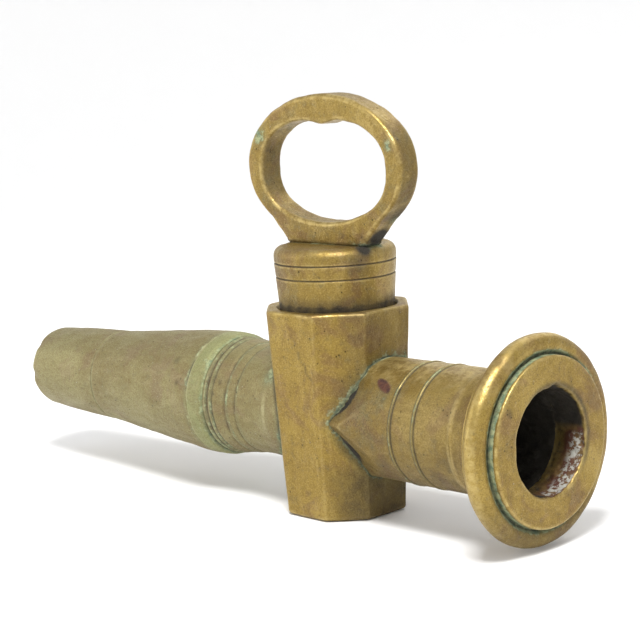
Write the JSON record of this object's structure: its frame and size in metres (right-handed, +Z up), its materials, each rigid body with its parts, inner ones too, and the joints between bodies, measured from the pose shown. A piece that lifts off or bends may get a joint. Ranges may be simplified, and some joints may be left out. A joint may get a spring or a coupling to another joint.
{
  "type": "fire hose nozzle",
  "caption": "Brass branch nozzle with a flanged hose inlet, an octagonal taper-plug stopcock turned by a ring key, and a tapered branch ending in a plain jet.",
  "frame": {"origin": "centre of the inlet mouth's face, on the waterway's axis", "axes": "+X out of the inlet mouth along the waterway, +Z up the plug's axis towards the key ring"},
  "size_m": [0.2046, 0.0548, 0.116],
  "materials": {
    "cast_brass": "aged, unlacquered, handled bright on the edges",
    "dull_brass": "dull khaki patina with pale green verdigris",
    "hide": "greased leather"
  },
  "bodies": {
    "nozzle": {"cock_barrel": "cast_brass", "inlet_tail": "cast_brass", "inlet_flange": "cast_brass", "mouth_bush": "cast_brass", "outlet_neck": "dull_brass", "neck_washer": "hide", "branch_ferrule": "dull_brass", "branch_cone": "dull_brass", "tip_washer": "hide", "jet_tip": "dull_brass"},
    "plug_and_key": {"plug": "cast_brass", "key_ring": "cast_brass", "plug_washer": "cast_brass", "plug_nut": "cast_brass"}
  },
  "joints": [
    {"name": "plug_turn", "type": "hinge", "parent": "nozzle", "child": "plug_and_key", "pos_m": [-0.074, 0, 0], "axis": [0, 0, 1], "continuous": true}
  ]
}
